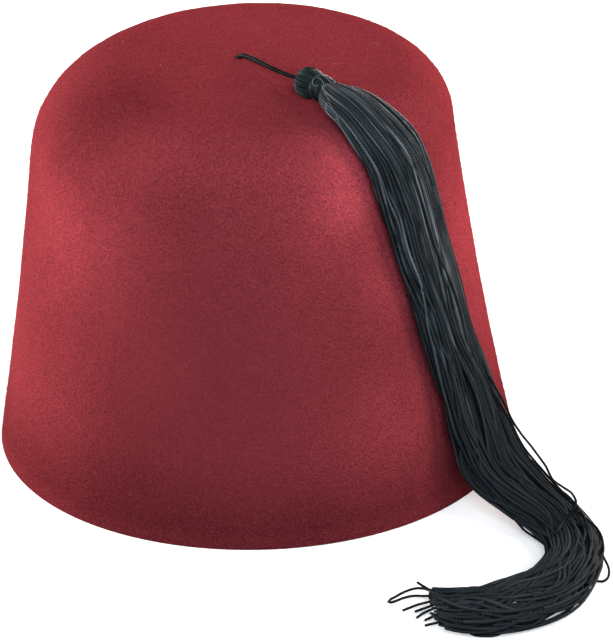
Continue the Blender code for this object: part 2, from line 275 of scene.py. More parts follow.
cord_black = black_rayon_painted_sheen(
    "black_rayon_cord", "#0b0e10", "#14181a", 0.06, 40 * MM, 1.8 * MM, ridges=0, relief=0.1
)
tassel_cord.data.materials.append(cord_black)

# ---- Knot
# The same cord, tied in a plain overhand knot and pulled tight under the felt. It only shows from inside.
KNOT_SCALE = 0.75 * MM
KNOT_TALL = 1.2  # how far its loops pass over and under each other, in the same scale
KNOT_POINTS = 72

knot_low, knot_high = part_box("cord_knot")
knot_middle = (knot_low + knot_high) / 2
knot_route = []
for i in range(KNOT_POINTS):
    turn = 2 * math.pi * i / KNOT_POINTS
    x = math.sin(turn) + 2 * math.sin(2 * turn)
    y = math.cos(turn) - 2 * math.cos(2 * turn)
    knot_route.append(knot_middle + KNOT_SCALE * Vector((x, y, -KNOT_TALL * math.sin(3 * turn))))
cord_knot = as_mesh(curve_of("overhand_knot", [knot_route], CORD_DIAMETER / 2, 2, cyclic=True))
cord_knot.data.materials.append(cord_black)
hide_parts("cord_knot")
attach(cord_knot, "root")

# ---- Crown
# One seamless cone of wool felt, steamed over a block: a round top, sides that spread to an oval rim, and
# a raw cut edge. Its surface is matted hair, slightly uneven from the steaming.
FELT = 2.8 * MM
CROWN_HEIGHT = 152 * MM
TOP_DOME = 3 * MM
Side = namedtuple("Side", "rim top shoulder waist")
RIGHT = Side(rim=97.5, top=70.0, shoulder=23.0, waist=1.5)
BACK = Side(rim=91.5, top=69.0, shoulder=26.0, waist=1.1)
LEFT = Side(rim=97.5, top=75.7, shoulder=36.0, waist=0.8)
FRONT = Side(rim=91.5, top=73.5, shoulder=20.0, waist=1.1)
Dent = namedtuple("Dent", "angle height depth spread_deg spread_mm")
DENTS = [
    Dent(angle=-142, height=136, depth=1.1, spread_deg=20, spread_mm=16),
    Dent(angle=-96, height=84, depth=0.9, spread_deg=24, spread_mm=34),
    Dent(angle=120, height=60, depth=0.8, spread_deg=22, spread_mm=30),
]
CROWN_CORNERS = 240
SIDE_ROWS, SHOULDER_ROWS, TOP_ROWS = 42, 20, 20
UNEVEN, UNEVEN_REACH = 0.16 * MM, 13 * MM  # how far the surface wavers, and over what distance
EDGE_ROUND = 0.35 * MM
HOLE_DIAMETER, HOLE_CORNERS = 2.5 * MM, 24


def blended(field, angle):
    """A size of the crown at an angle round it, from its four directions."""
    right, behind, left, front = (getattr(side, field) * MM for side in (RIGHT, BACK, LEFT, FRONT))
    mean = (right + behind + left + front) / 4
    sway = (right - left) / 2 * math.cos(angle) + (behind - front) / 2 * math.sin(angle)
    return mean + sway + (right + left - behind - front) / 4 * math.cos(2 * angle)


def dented(angle, height):
    """How far the felt is pushed in at a place on the crown."""
    depth = 0.0
    for dent in DENTS:
        turn = (math.degrees(angle) - dent.angle + 180) % 360 - 180
        far = (turn / dent.spread_deg) ** 2 + ((height / MM - dent.height) / dent.spread_mm) ** 2
        depth += dent.depth * MM * math.exp(-far)
    around = Vector((math.cos(angle), math.sin(angle), 0)) * RIGHT.rim * MM
    return depth + UNEVEN * noise.noise((around + Vector((0, 0, height))) / UNEVEN_REACH)


def crown_profile(angle):
    """Radius and height of each row from the rim to the last one round the middle of the top."""
    rim, top, shoulder, waist = (blended(field, angle) for field in Side._fields)
    slant = math.hypot(rim - top, CROWN_HEIGHT)
    rise, lean = CROWN_HEIGHT / slant, (rim - top) / slant
    turn_z = CROWN_HEIGHT - shoulder
    climb = (turn_z + shoulder * lean) / rise
    turn_r = rim - climb * lean - shoulder * rise
    rows = []
    for i in range(SIDE_ROWS):
        t = i / SIDE_ROWS
        push = dented(angle, t * climb * rise) if i else 0.0
        hollow = waist * 4 * t * (1 - t)
        height = t * climb * rise - push * lean if i else 0.0
        rows.append((rim - t * climb * lean - hollow - push * rise, height))
    start = math.atan2(lean, rise)
    for i in range(SHOULDER_ROWS):
        bend = start + (math.pi / 2 - start) * i / SHOULDER_ROWS
        reach = shoulder - dented(angle, turn_z + shoulder * math.sin(bend))
        rows.append((turn_r + reach * math.cos(bend), turn_z + reach * math.sin(bend)))
    for i in range(TOP_ROWS):
        out = 1 - i / TOP_ROWS
        push = dented(angle, CROWN_HEIGHT) * out
        rows.append((turn_r * out, CROWN_HEIGHT + TOP_DOME * (1 - out * out) - push))
    return rows


def finish_with(piece, kind, **settings):
    """Adds a modifier with its settings and applies it."""
    only(piece)
    made = piece.modifiers.new(kind, kind)
    for name, value in settings.items():
        setattr(made, name, value)
    bpy.ops.object.modifier_apply(modifier=made.name)


bpy.ops.object.select_all(action="DESELECT")
bpy.ops.mesh.primitive_circle_add(vertices=CROWN_CORNERS, radius=RIGHT.rim * MM)
crown = bpy.context.object
crown.name = crown.data.name = "felt_crown"
bpy.ops.object.mode_set(mode="EDIT")
for row in range(SIDE_ROWS + SHOULDER_ROWS + TOP_ROWS):  # straight up here, and put on the profile below
    bpy.ops.mesh.extrude_region_move(TRANSFORM_OT_translate={"value": (0, 0, 2 * MM)})
bpy.ops.mesh.merge(type="CENTER")
bpy.ops.object.mode_set(mode="OBJECT")
corners = [math.atan2(vertex.co.y, vertex.co.x) for vertex in crown.data.vertices[:CROWN_CORNERS]]
profiles = [crown_profile(angle) for angle in corners]
for vertex in crown.data.vertices:
    row, corner = divmod(vertex.index, CROWN_CORNERS)
    if row == SIDE_ROWS + SHOULDER_ROWS + TOP_ROWS:
        vertex.co = (0, 0, CROWN_HEIGHT + TOP_DOME)
        continue
    radius, height = profiles[corner][row]
    vertex.co = (radius * math.cos(corners[corner]), radius * math.sin(corners[corner]), height)
only(crown)
bpy.ops.object.mode_set(mode="EDIT")
bpy.ops.mesh.select_all(action="SELECT")
bpy.ops.mesh.normals_make_consistent(inside=False)
bpy.ops.object.mode_set(mode="OBJECT")
outer_felt = crown.data.copy()  # the outside alone, which carries the nap
finish_with(crown, "SOLIDIFY", thickness=FELT, offset=-1)
for vertex in crown.data.vertices:
    vertex.co.z = max(vertex.co.z, 0)
sharp = math.radians(50)
finish_with(crown, "BEVEL", width=EDGE_ROUND, segments=2, limit_method="ANGLE", angle_limit=sharp)
felt_surface = BVHTree.FromObject(crown, bpy.context.evaluated_depsgraph_get())
through = Vector(CORD_ROUTE[1]) * MM
ahead = (through - Vector(CORD_ROUTE[0]) * MM).normalized()
bpy.ops.object.select_all(action="DESELECT")
bpy.ops.mesh.primitive_cylinder_add(
    vertices=HOLE_CORNERS,
    radius=HOLE_DIAMETER / 2,
    depth=4 * FELT,
    location=through,
    rotation=Vector((0, 0, 1)).rotation_difference(ahead).to_euler(),
)
hole = bpy.context.object
finish_with(crown, "BOOLEAN", operation="DIFFERENCE", solver="EXACT", object=hole)
bpy.data.objects.remove(hole)
bpy.ops.object.shade_smooth_by_angle(angle=math.radians(45))

# The front is rubbed smooth round one place: how far that reaches, and the grain left in the middle of it.
SMOOTHEST, SMOOTH_REACH, SMOOTH_GRAIN = Vector((-14, -84, 64)) * MM, 80 * MM, 0.45
# patches of painted light and shade, where the felt is made lighter or darker as light falls on it
PaintedPatch = namedtuple("PaintedPatch", "x y z reach tone")
PAINTED_LIGHT_AND_SHADE_PATCHES = [
    PaintedPatch(x=-56, y=-38, z=147, reach=44, tone=0.6),
    PaintedPatch(x=-46, y=-76, z=30, reach=44, tone=0.82),
    PaintedPatch(x=-64, y=-52, z=112, reach=50, tone=1.36),
    PaintedPatch(x=34, y=-66, z=133, reach=36, tone=1.55),
    PaintedPatch(x=50, y=-62, z=92, reach=28, tone=1.4),
    PaintedPatch(x=4, y=-84, z=133, reach=34, tone=1.2),
    PaintedPatch(x=16, y=-52, z=153, reach=26, tone=0.93),
    PaintedPatch(x=36, y=-66, z=132, reach=24, tone=1.48),
    PaintedPatch(x=54, y=-72, z=30, reach=44, tone=1.32),
    PaintedPatch(x=-9, y=-83, z=57, reach=44, tone=0.92),
    PaintedPatch(x=80, y=-22, z=87, reach=72, tone=1.58),
    PaintedPatch(x=18, y=20, z=154, reach=62, tone=1.16),
    PaintedPatch(x=27, y=-72, z=110, reach=32, tone=1.16),
    PaintedPatch(x=52, y=-68, z=50, reach=30, tone=1.1),
]
RIM_PAINTED_SHADE_TO, RIM_PAINTED_SHADE_TONE = 40 * MM, 0.57  # painted shade towards the rim: how high the darkening reaches, and the tone at the rim
CUT_EDGE_PAINTED_LIGHT_TO, CUT_EDGE_PAINTED_LIGHT_TONE = 7 * MM, 1.35  # painted light just above the cut edge, which is paler again
# Dye varies over centimetres, and tufts over a few millimetres. The matted hairs, some 0.05 mm thick, are
# drawn about ten times coarser so that they show.
DYE_SCALE, TUFT_SCALE, HAIR_SCALE = 28 * MM, 2.4 * MM, 0.7 * MM
TUFT_SHARE, HAIR_SHARE = 0.5, 0.75  # of tufts against dye, and of hairs against both
NAP_LOW, NAP_HIGH = 0.38, 0.62  # noise at which the felt is darkest, and lightest
NAP_RELIEF = 1.0 * MM


def pressed_felt_painted_light_and_shade(name, dark, light):
    """Dyed wool felt, fulled and pressed: no weave, only matted hairs that scatter light softly all round."""
    # Its colour carries painted shade towards the rim, painted light above the cut edge, and patches of both.
    made = bpy.data.materials.new(name)
    made.use_nodes = True
    tree = made.node_tree
    shader = tree.nodes["Principled BSDF"]
    shader.inputs["Roughness"].default_value = 0.95
    shader.inputs["Specular IOR Level"].default_value = 0.0
    shader.inputs["Sheen Weight"].default_value = 0.05
    shader.inputs["Sheen Roughness"].default_value = 0.4
    shader.inputs["Sheen Tint"].default_value = colour("#e0202c")
    place = node(tree, "ShaderNodeTexCoord").outputs["Object"]
    dye = node(tree, "ShaderNodeTexNoise", {"Vector": place, "Scale": 1 / DYE_SCALE, "Detail": 2.0})
    tufts = node(tree, "ShaderNodeTexNoise", {"Vector": place, "Scale": 1 / TUFT_SCALE, "Detail": 3.0})
    hairs = node(
        tree,
        "ShaderNodeTexNoise",
        {"Vector": place, "Scale": 1 / HAIR_SCALE, "Detail": 2.0, "Roughness": 0.6, "Distortion": 0.3},
    )
    soft = node(tree, "ShaderNodeMix", {0: TUFT_SHARE, 2: dye.outputs[0], 3: tufts.outputs[0]})
    tone = node(tree, "ShaderNodeMix", {0: HAIR_SHARE, 2: soft.outputs[0], 3: hairs.outputs[0]})
    spread = node(tree, "ShaderNodeMapRange", {0: tone.outputs[0], 1: NAP_LOW, 2: NAP_HIGH})
    far = node(tree, "ShaderNodeVectorMath", {0: place, 1: SMOOTHEST}, operation="DISTANCE")
    grain = node(
        tree,
        "ShaderNodeMapRange",
        {0: far.outputs["Value"], 1: 0.0, 2: SMOOTH_REACH, 3: SMOOTH_GRAIN, 4: 1.0},
        interpolation_type="SMOOTHSTEP",
    ).outputs[0]
    spread = node(tree, "ShaderNodeMix", {0: grain, 2: 0.5, 3: spread.outputs[0]})
    tint = node(
        tree,
        "ShaderNodeMix",
        {0: spread.outputs[0], 6: colour(dark), 7: colour(light)},
        data_type="RGBA",
    )
    # Painted shade darkens the colour towards the rim, and painted light makes it paler just above the cut
    # edge.
    height = node(tree, "ShaderNodeSeparateXYZ", {0: place}).outputs["Z"]
    painted_light_and_shade = node(
        tree,
        "ShaderNodeMapRange",
        {0: height, 1: 0.0, 2: RIM_PAINTED_SHADE_TO, 3: RIM_PAINTED_SHADE_TONE, 4: 1.0},
        interpolation_type="SMOOTHSTEP",
    ).outputs[0]
    pale = node(
        tree, "ShaderNodeMapRange", {0: height, 1: 0.0, 2: CUT_EDGE_PAINTED_LIGHT_TO, 3: CUT_EDGE_PAINTED_LIGHT_TONE, 4: 1.0}
    ).outputs[0]
    painted_light_and_shade = node(tree, "ShaderNodeMath", {0: painted_light_and_shade, 1: pale}, operation="MULTIPLY").outputs[0]
    # patches of painted light and shade
    for patch in PAINTED_LIGHT_AND_SHADE_PATCHES:
        centre = Vector((patch.x, patch.y, patch.z)) * MM
        far = node(tree, "ShaderNodeVectorMath", {0: place, 1: centre}, operation="DISTANCE")
        here = node(
            tree,
            "ShaderNodeMapRange",
            {0: far.outputs["Value"], 1: 0.0, 2: patch.reach * MM, 3: patch.tone, 4: 1.0},
            interpolation_type="SMOOTHSTEP",
        )
        painted_light_and_shade = node(tree, "ShaderNodeMath", {0: painted_light_and_shade, 1: here.outputs[0]}, operation="MULTIPLY").outputs[0]
    dyed_and_painted_light = node(tree, "ShaderNodeVectorMath", {0: tint.outputs[2], "Scale": painted_light_and_shade}, operation="SCALE")
    tree.links.new(dyed_and_painted_light.outputs[0], shader.inputs["Base Color"])
    bump = node(
        tree, "ShaderNodeBump", {"Height": tone.outputs[0], "Strength": grain, "Distance": NAP_RELIEF}
    )
    tree.links.new(bump.outputs[0], shader.inputs["Normal"])
    return made


crown.data.materials.append(pressed_felt_painted_light_and_shade("pressed_felt_painted_light_and_shade", "#752b31", "#9c3b42"))
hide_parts("crown")
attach(crown, "root")

# ---- Nap
# Ends of the felt's own wool that work loose from it: most lie flat and curled on the outside, a few stand up
# and catch the light along the edges. Here and there a pale hair of another wool has come with them.
Hair = namedtuple("Hair", "name count length radius lift code")
HAIRS = [
    Hair(name="felt_nap", count=10500, length=1.7, radius=0.05, lift=0.14, code="#8c363d"),
    Hair(name="pale_hairs", count=26, length=2.8, radius=0.055, lift=0.3, code="#b98c84"),
]
HAIR_RING = 3
HAIR_ALONG = [0, 0.25, 0.55, 0.85, 1.0]  # its point, its rings and its other point, as shares of its length
HAIR_OUTLINE = [0.35, 1.0, 0.7]  # thickness where each ring is, as a share of the thickest
HAIR_CURL = 0.35
HAIR_TOP = 0.75  # share of its length from which it stays as high as it is there
HAIRS_FROM = 2 * MM  # height above the cut edge
hair_chance = np.random.default_rng(11)


def hairs_on(felt, hair):
    """Short curved hairs, pointed at both ends, at random places over the felt."""
    # Extruding may list the faces in another order at each run, so they are sorted by their corners.
    faces = sorted(felt.polygons, key=lambda face: sorted(face.vertices))
    faces = [face for face in faces if face.center.z > HAIRS_FROM]
    areas = np.array([face.area for face in faces])
    picked = hair_chance.choice(len(faces), hair.count, p=areas / areas.sum())
    points, sides = [], []
    for face in (faces[number] for number in picked):
        corners = [felt.vertices[index].co for index in sorted(face.vertices)]
        shares = hair_chance.dirichlet(np.ones(len(corners)))
        root = sum((corner * share for corner, share in zip(corners, shares)), Vector())
        turn = hair_chance.uniform(0, 2 * math.pi)
        flat = face.normal.orthogonal().normalized()
        flat = flat * math.cos(turn) + face.normal.cross(flat) * math.sin(turn)
        aside = face.normal.cross(flat)
        length = hair.length * MM * hair_chance.uniform(0.5, 1.5)
        curl = hair_chance.normal(0, HAIR_CURL)
        lift = hair.lift * MM * hair_chance.exponential()
        line = []
        for t in HAIR_ALONG:
            bend = aside * curl * length * (t * t - t)
            rise = face.normal * lift * math.sin(math.pi * min(t, HAIR_TOP))
            line.append(root + flat * length * t + bend + rise)
        first = len(points)
        points.append(line[0])
        for centre, size in zip(line[1:-1], HAIR_OUTLINE):
            for corner in range(HAIR_RING):
                around = 2 * math.pi * corner / HAIR_RING
                reach = hair.radius * MM * size
                points.append(centre + (aside * math.cos(around) + face.normal * math.sin(around)) * reach)
        points.append(line[-1])
        last = len(points) - 1
        for corner in range(HAIR_RING):
            beside = (corner + 1) % HAIR_RING
            sides.append((first, first + 1 + beside, first + 1 + corner))
            for low in (first + 1, first + 1 + HAIR_RING):
                sides.append((low + corner, low + beside, low + HAIR_RING + beside, low + HAIR_RING + corner))
            sides.append((last - HAIR_RING + corner, last - HAIR_RING + beside, last))
    mesh = bpy.data.meshes.new(hair.name)
    mesh.from_pydata(points, [], sides)
    made = bpy.data.objects.new(hair.name, mesh)
    bpy.context.collection.objects.link(made)
    only(made)
    bpy.ops.object.mode_set(mode="EDIT")
    bpy.ops.mesh.select_all(action="SELECT")
    bpy.ops.mesh.normals_make_consistent(inside=False)
    bpy.ops.object.mode_set(mode="OBJECT")
    return made


def single_wool_hair(name, code):
    """A single crimped wool fibre: translucent and matt, so it looks a little paler than the felt below."""
    made = bpy.data.materials.new(name)
    made.use_nodes = True
    shader = made.node_tree.nodes["Principled BSDF"]
    shader.inputs["Base Color"].default_value = colour(code)
    shader.inputs["Roughness"].default_value = 0.8
    return made


for hair in HAIRS:
    hairs = hairs_on(outer_felt, hair)
    hairs.data.materials.append(single_wool_hair(hair.name + "_wool", hair.code))
    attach(hairs, "root")

# ---- Tassel head
# The skirt's strands are folded in half over the end of the cord, and the fold is pulled down into a round
# bulb. They lie side by side all round it, and run in under the binding.
HEAD_BACK = Vector((17.8, -36.9, 159.4)) * MM
HEAD_FRONT = Vector((27.2, -45.7, 158.7)) * MM
Turn = namedtuple("Turn", "along radius")
HEAD_PROFILE = [
    Turn(0.3, 0.8),
    Turn(0.1, 1.8),
    Turn(0.3, 3.4),
    Turn(1.0, 4.7),
    Turn(2.1, 5.4),
    Turn(3.4, 5.6),
    Turn(4.9, 5.6),
    Turn(6.1, 5.2),
    Turn(7.0, 4.4),
    Turn(8.6, 3.9),
    Turn(13.2, 3.9),
]
FOLDS = 46  # strands that show round the bulb
FOLD_DIAMETER = 0.95 * MM
FOLD_STEP = 0.7 * MM
FOLD_UNEVEN = 0.25  # how far a fold is off its place, as a share of the way to the next
FOLD_SLANT, HEAD_LENGTH = 0.15, 9  # how far a fold turns round the head (radians) over its length (mm)
FOLD_DEEP, FOLD_HIGH = 0.12, 0.06  # how far it may lie below and above the others (mm)
chance = np.random.default_rng(24)
head_axis = (HEAD_FRONT - HEAD_BACK).normalized()
to_head = Vector((0, 0, 1)).rotation_difference(head_axis).to_matrix()


def round_head(along, radius, turn):
    """A place by its distance along the head, its distance from the axis, and its angle round it."""
    return HEAD_BACK + head_axis * along + to_head @ (Vector((math.cos(turn), math.sin(turn), 0)) * radius)


folds = []
for number in range(FOLDS):
    turn = 2 * math.pi * (number + chance.uniform(-FOLD_UNEVEN, FOLD_UNEVEN)) / FOLDS
    slip, lift = chance.uniform(-FOLD_SLANT, FOLD_SLANT), chance.uniform(-FOLD_DEEP, FOLD_HIGH)
    line = []
    for row in HEAD_PROFILE:
        radius = row.radius * MM - FOLD_DIAMETER / 2 + lift * MM
        line.append(round_head(row.along * MM, radius, turn + slip * row.along / HEAD_LENGTH))
    folds.append(smooth_rows(line, FOLD_STEP))
tassel_head = as_mesh(curve_of("folded_head", folds, FOLD_DIAMETER / 2, 2))
head_black = black_rayon_painted_sheen("black_rayon_fold", "#1b2526", "#283334", 0.16, 20 * MM, 1.3 * MM)
tassel_head.data.materials.append(head_black)
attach(tassel_head, "root")

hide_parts("tassel_cord")
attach(tassel_cord, "root")

# ---- Neck binding
# Fine shiny thread, wound tightly round the neck below the bulb and back over itself, slightly aslant.
# Its ends were not tucked in: small curls stand up on the upper side, and a long one lies down the skirt.
THREAD = 0.32 * MM
WIND_FROM, WIND_TO = 7.3 * MM, 12.2 * MM
NECK_RADIUS = 4.35 * MM
WIND_SLANT = 0.7 * MM
TURNS, BACK_TURNS = 17, 6
WIND_BULGE = 0.14 * MM  # how much fuller the winding is in its middle
BACK_FROM, BACK_TO = 0.4 * MM, 1.4 * MM  # how far the turns back over it keep from its ends, together
BACK_ABOVE = 0.36 * MM
BACK_START = 1.0  # the turn round the head, in radians, where it goes back
STEPS_ROUND = 24
UPWARD = math.pi / 2  # the turn round the head that looks up
THREAD_END = 0.1 * MM  # radius of the loose ends, which have come untwisted
THREAD_STEP = 0.4 * MM
LOOSE_ENDS = [
    # down the skirt's near edge
    [
        Point(24.4, -46.0, 162.2),
        Point(25.5, -50.8, 161.5),
        Point(26.0, -53.0, 161.2),
        Point(26.9, -56.2, 160.1),
        Point(27.5, -58.5, 159.1),
        Point(28.3, -59.5, 158.1),
        Point(29.2, -60.9, 157.1),
        Point(29.7, -62.3, 156.1),
        Point(30.8, -63.5, 153.3),
        Point(32.2, -64.2, 151.4),
        Point(33.1, -65.2, 149.9),
    ],
    # a slack loop beside it
    [
        Point(26.6, -56.4, 159.6),
        Point(25.9, -58.6, 158.2),
        Point(26.2, -59.4, 157.0),
        Point(27.2, -60.6, 156.2),
        Point(28.4, -61.6, 155.4),
        Point(29.6, -62.4, 155.3),
    ],
    # small curls over the binding; the first starts along the winding's upper edge as a painted glint of it
    [
        Point(27.1, -45.9, 163.2),
        Point(25.9, -44.4, 163.7),
        Point(24.6, -43.1, 163.9),
        Point(23.3, -43.3, 163.5),
        Point(22.4, -44.5, 163.2),
        Point(21.7, -45.7, 162.6),
        Point(21.6, -46.8, 162.2),
        Point(22.0, -47.2, 161.7),
        Point(22.9, -47.6, 161.6),
        Point(23.5, -47.9, 162.0),
    ],
    [
        Point(23.0, -43.9, 163.6),
        Point(24.3, -45.4, 163.3),
        Point(25.3, -47.2, 162.7),
        Point(25.6, -48.2, 161.6),
    ],
    [
        Point(27.1, -45.9, 163.2),
        Point(27.6, -46.8, 163.0),
        Point(28.2, -47.8, 162.7),
        Point(29.1, -48.0, 162.6),
        Point(29.4, -46.6, 162.6),
        Point(28.7, -45.2, 162.7),
        Point(27.8, -45.1, 162.9),
    ],
    [
        Point(26.8, -48.1, 162.4),
        Point(25.9, -48.8, 162.1),
        Point(25.1, -49.3, 161.5),
        Point(24.7, -49.5, 160.6),
    ],
]

winding = []
for i in range(TURNS * STEPS_ROUND + 1):
    part = i / (TURNS * STEPS_ROUND)
    turn = 2 * math.pi * TURNS * part
    slant = WIND_SLANT * part * math.cos(turn - UPWARD)
    bulge = WIND_BULGE * math.sin(math.pi * part)
    winding.append(round_head(WIND_FROM + (WIND_TO - WIND_FROM) * part + slant, NECK_RADIUS + bulge, turn))
over = []
for i in range(BACK_TURNS * STEPS_ROUND + 1):
    part = i / (BACK_TURNS * STEPS_ROUND)
    turn = BACK_START - 2 * math.pi * BACK_TURNS * part
    slant = -WIND_SLANT * math.cos(turn - UPWARD)
    along = WIND_TO - BACK_FROM - (WIND_TO - WIND_FROM - BACK_TO) * part
    over.append(round_head(along + slant, NECK_RADIUS + BACK_ABOVE, turn))
binding = as_mesh(curve_of("wound_thread", [winding, over], THREAD / 2, 1))
thread_black = black_rayon_painted_sheen(
    "black_silk_thread", "#1a2022", "#2c3437", 0.4, 500 * MM, 0.8 * MM, relief=0.15
)
binding.data.materials.append(thread_black)
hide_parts("neck_binding")
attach(binding, "root")

curls = [smooth_rows(np.array(route) * MM, THREAD_STEP) for route in LOOSE_ENDS]
thread_ends = as_mesh(curve_of("loose_thread_ends", curls, THREAD_END, 1))
grey_thread = black_rayon_painted_sheen(
    "untwisted_grey_thread", "#4b5559", "#939c9f", 0.6, 6 * MM, 0.8 * MM, relief=0.1
)
thread_ends.data.materials.append(grey_thread)
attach(thread_ends, "root")

# ---- Tassel skirt
# About 130 limp twisted rayon strands, each 1.1 mm thick and about 0.3 m long. They spread from the neck,
# drape over the shoulder and down the side, and lie on the table in a forward curl, their cut ends apart.
Station = namedtuple("Station", "x y z wide thick tilt")
SKIRT = [
    Station(25.2, -44.0, 158.8, 6.4, 6.4, 0),
    Station(27.6, -46.5, 158.6, 7.8, 7.8, 4),
    Station(30.1, -50.2, 158.1, 16.5, 9.5, 8),
    Station(36.7, -55.1, 155.6, 20.6, 9.5, 24),
    Station(43.9, -59.5, 149.8, 24.2, 9.0, 50),
    Station(50.7, -61.4, 141.4, 26.2, 8.5, 70),
    Station(54.8, -60.1, 131.0, 27.6, 8.0, 80),
    Station(58.1, -58.6, 118.4, 28.2, 8.0, 80),
    Station(62.2, -57.5, 101.4, 27.8, 8.0, 80),
    Station(67.5, -56.0, 82.5, 28.2, 8.0, 80),
    Station(72.5, -54.8, 62.5, 27.5, 8.0, 80),
    Station(78.2, -54.0, 44.3, 31.6, 8.5, 78),
    Station(82.7, -56.6, 28.7, 34.2, 9.0, 66),
    Station(87.3, -62.8, 16.3, 34.0, 9.5, 44),
    Station(97.4, -72.4, 9.0, 29.0, 9.5, 18),
    Station(106.9, -84.4, 5.8, 23.8, 10.0, 4),
    Station(111.8, -98.8, 5.2, 21.6, 10.5, 0),
    Station(110.7, -110.7, 5.2, 21.6, 10.5, 0),
    Station(106.0, -121.4, 5.0, 24.2, 10.0, 0),
    Station(97.9, -131.5, 4.7, 29.5, 9.5, 0),
    Station(86.0, -137.6, 4.2, 31.0, 8.5, 0),
    Station(73.0, -139.2, 3.9, 28.0, 8.0, 0),
    Station(61.0, -136.4, 3.5, 23.5, 7.2, 0),
    Station(56.5, -134.6, 3.3, 21.0, 6.6, 0),
]
STRANDS = 130
STRAND_RADIUS = 0.56 * MM
STRAND_STEP = 2.5 * MM
CLUMPS = 16
FULL = 0.8  # share of the skirt's oval that its strands fill
KEEP, DRIFT = 0.72, 0.28  # how much a strand's next place owes to its last one, and to where it wanders
FURTHEST = 1.1  # how far out a strand may wander, as a share of half the skirt's width
SETTLE_ROUNDS, SETTLE_PUSH = 12, 0.35  # the share of an overlap that each round pushes two strands apart
EVEN_ROWS, EVEN_SPREAD = 4, 1.5  # rows to each side over which the strands' lines are evened out
NEAR_ENDS_SHORT, NEAR_BEND = 14, 1.6  # mm that its near edge ends before the far one, and how it bends there
END_RAGGED = 1.5  # mm, the usual difference between cut ends
CUT_EARLY = 0.5  # share of the strands that were cut off well short of the others
LATEST_CUT, EARLIEST_CUT = 3, 46  # mm short of them
EDGE_DROOP = 4.2 * MM  # how far the edges lie down beside the middle, where the skirt hangs
NECK_ROWS = 3  # the first rows, which are inside the binding
# how far strands stray from their places, alone and with their clump, as shares of the skirt's half width
Wander = namedtuple("Wander", "along alone together")
WANDERS = [
    Wander(along=0, alone=0.0, together=0.0),
    Wander(along=25, alone=0.07, together=0.05),
    Wander(along=60, alone=0.12, together=0.10),
    Wander(along=100, alone=0.12, together=0.12),
    Wander(along=140, alone=0.14, together=0.12),
    Wander(along=170, alone=0.16, together=0.12),
    Wander(along=192, alone=0.20, together=0.16),
    Wander(along=216, alone=0.26, together=0.22),
    Wander(along=234, alone=0.42, together=0.26),
    Wander(along=248, alone=0.52, together=0.28),
    Wander(along=262, alone=0.54, together=0.28),
    Wander(along=276, alone=0.54, together=0.28),
    Wander(along=300, alone=0.54, together=0.28),
]


def skirt_frames():
    """Along the skirt: its middle, the ways across and out of its flat side, half its width and thickness."""
    rows = smooth_rows([[*np.array(row[:5]) * MM, row.tilt] for row in SKIRT], STRAND_STEP)
    heading = np.gradient(rows[:, :3], axis=0)
    frames = []
    for row, ahead in zip(rows, heading):
        ahead = Vector(ahead).normalized()
        away = math.atan2(row[1], row[0])
        tilt = math.radians(row[5])
        level = Vector((math.cos(away), math.sin(away), 0))
        out = level * math.sin(tilt) + Vector((0, 0, math.cos(tilt)))
        out = (out - ahead * out.dot(ahead)).normalized()
        frames.append((Vector(row[:3]), ahead.cross(out), out, row[3] / 2, row[4] / 2))
    return frames


def slow_waves(count, column):
    """Smooth random drifts in two directions, for each strand or clump at each frame of the skirt."""
    knots = np.array([row.along for row in WANDERS]) * MM / STRAND_STEP
    reach = np.array([getattr(row, column) for row in WANDERS])
    rows = chance.normal(0, 1, (count, len(knots), 2)) * reach[None, :, None]
    at = np.arange(len(skirt))
    low = np.clip(np.searchsorted(knots, at, side="right") - 1, 0, len(knots) - 2)
    part = np.clip((at - knots[low]) / (knots[low + 1] - knots[low]), 0, 1)[None, :, None]
    part = part * part * (3 - 2 * part)
    return rows[:, low] * (1 - part) + rows[:, low + 1] * part


def settled(places, wide, thick, radius):
    """Strands in an oval, pushed apart until they only touch."""
    for _ in range(SETTLE_ROUNDS):
        apart = places[:, None] - places[None]
        far = np.linalg.norm(apart, axis=2) + np.eye(len(places))
        push = np.clip(2 * radius - far, 0, None) / far * SETTLE_PUSH
        push[np.diag_indices(len(places))] = 0
        places = places + (apart * push[..., None]).sum(axis=1)
        out = np.hypot(places[:, 0] / (wide - radius), places[:, 1] / (thick - radius))
        places = places / np.maximum(out, 1)[:, None]
    return places


skirt = skirt_frames()
number = np.arange(STRANDS)
golden = math.pi * (3 - math.sqrt(5))
discs = np.sqrt((number + 0.5) / STRANDS)
home = np.column_stack([discs * np.cos(golden * number), discs * np.sin(golden * number)])
clump = chance.integers(0, CLUMPS, STRANDS)
drift = slow_waves(STRANDS, "alone") + slow_waves(CLUMPS, "together")[clump]
places = home * np.array([skirt[0][3], skirt[0][4]])
across_out, sizes = [], []
for i, (_, _, _, half_wide, half_thick) in enumerate(skirt):
    room = math.pi * half_wide * half_thick * FULL
    radius = min(STRAND_RADIUS, math.sqrt(room / STRANDS / math.pi))
    size = np.array([half_wide, half_thick])
    target = np.clip(home + drift[:, i], -FURTHEST, FURTHEST) * size
    last = np.array(skirt[max(i - 1, 0)][3:5])
    places = settled(places / last * size * KEEP + target * DRIFT, half_wide, half_thick, radius)
    across_out.append(places)
    sizes.append(radius)
weights = np.exp(-0.5 * (np.arange(-EVEN_ROWS, EVEN_ROWS + 1) / EVEN_SPREAD) ** 2)
weights /= weights.sum()
padded = np.pad(np.array(across_out), ((EVEN_ROWS, EVEN_ROWS), (0, 0), (0, 0)), mode="edge")
across_out = sum(weight * padded[i : i + len(skirt)] for i, weight in enumerate(weights))

